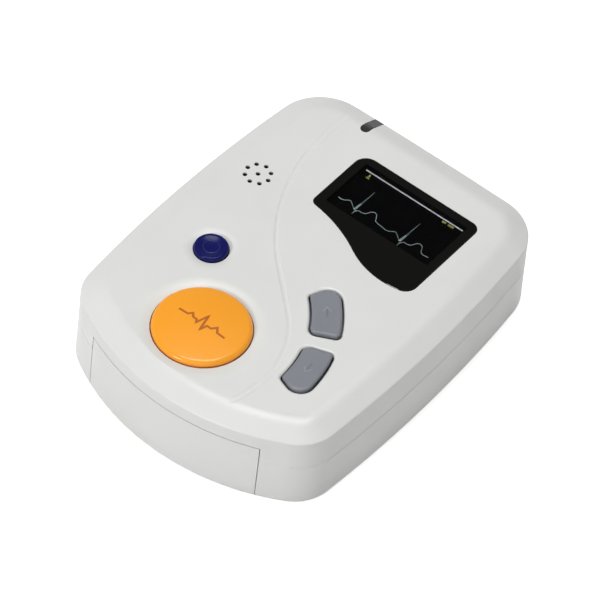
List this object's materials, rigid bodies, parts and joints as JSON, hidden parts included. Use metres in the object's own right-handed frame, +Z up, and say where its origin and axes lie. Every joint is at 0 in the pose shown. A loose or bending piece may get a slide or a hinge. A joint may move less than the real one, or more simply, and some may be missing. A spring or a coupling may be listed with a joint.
{
  "type": "portable ecg machine",
  "caption": "Hand-held heart-signal recorder in a rounded white case with a small screen, a large round event button, a round button, curved keys, a battery door and a lead socket",
  "frame": {"origin": "middle of the underside, on the surface the case rests on", "axes": "+X to the right of a user who reads the screen, +Y towards the screen end, +Z up through the top face"},
  "size_m": [0.0564, 0.0752, 0.0184],
  "materials": {
    "shell": "off-white moulded ABS, fine satin gloss",
    "event_orange": "orange moulded cap, satin gloss",
    "navy": "navy blue moulded button, satin gloss",
    "key_grey": "mid grey moulded keys, satin",
    "window": "clear acrylic lens with a black printed border",
    "display_glass": "dark display glass with light traces",
    "black_plastic": "black moulded plastic",
    "foam": "black closed-cell foam and woven mesh",
    "board_green": "green solder mask",
    "flex_amber": "amber polyimide flex",
    "guide": "smoked clear light guide",
    "lamp_white": "white lamp package",
    "ceramic": "ceramic chip bodies",
    "spring_steel": "nickel-plated spring steel",
    "contact_gold": "gold-plated brass",
    "screw_steel": "zinc-plated steel",
    "cell_jacket": "plain shrink-wrapped steel can"
  },
  "bodies": {
    "case": {"top_shell": "shell", "bottom_shell": "shell", "screen_window": "window", "oled_display": "display_glass", "display_gasket": "foam", "display_holder": "black_plastic", "display_flex": "flex_amber", "display_connector": "black_plastic", "main_board": "board_green", "board_chips": "black_plastic", "board_passives": "ceramic", "mark_switch": "spring_steel", "enter_switch": "spring_steel", "up_switch": "spring_steel", "down_switch": "spring_steel", "speaker": "black_plastic", "speaker_mesh": "foam", "indicator_guide": "guide", "indicator_lamp": "lamp_white", "lead_socket": "black_plastic", "socket_pins": "contact_gold", "left_cell": "cell_jacket", "right_cell": "cell_jacket", "contact_link": "spring_steel", "left_contact": "spring_steel", "right_contact": "spring_steel", "case_screws": "screw_steel", "board_screws": "screw_steel"},
    "mark": {"mark_button": "event_orange", "mark_stem": "black_plastic"},
    "enter": {"enter_button": "navy", "enter_stem": "black_plastic"},
    "up": {"up_key": "key_grey", "up_stem": "black_plastic"},
    "down": {"down_key": "key_grey", "down_stem": "black_plastic"},
    "door": {"battery_door": "shell"}
  },
  "joints": [
    {"name": "mark_press", "type": "slide", "parent": "case", "child": "mark", "axis": [0, 0, -1], "range_m": [0, 0.0004], "stiffness_N_per_m": 1500, "springref_m": -0.0004},
    {"name": "enter_press", "type": "slide", "parent": "case", "child": "enter", "axis": [0, 0, -1], "range_m": [0, 0.0004], "stiffness_N_per_m": 1500, "springref_m": -0.0004},
    {"name": "up_press", "type": "slide", "parent": "case", "child": "up", "axis": [0, 0, -1], "range_m": [0, 0.0004], "stiffness_N_per_m": 1500, "springref_m": -0.0004},
    {"name": "down_press", "type": "slide", "parent": "case", "child": "down", "axis": [0, 0, -1], "range_m": [0, 0.0004], "stiffness_N_per_m": 1500, "springref_m": -0.0004},
    {"name": "door_slide", "type": "slide", "parent": "case", "child": "door", "axis": [0, -1, 0], "range_m": [0, 0.006]}
  ]
}
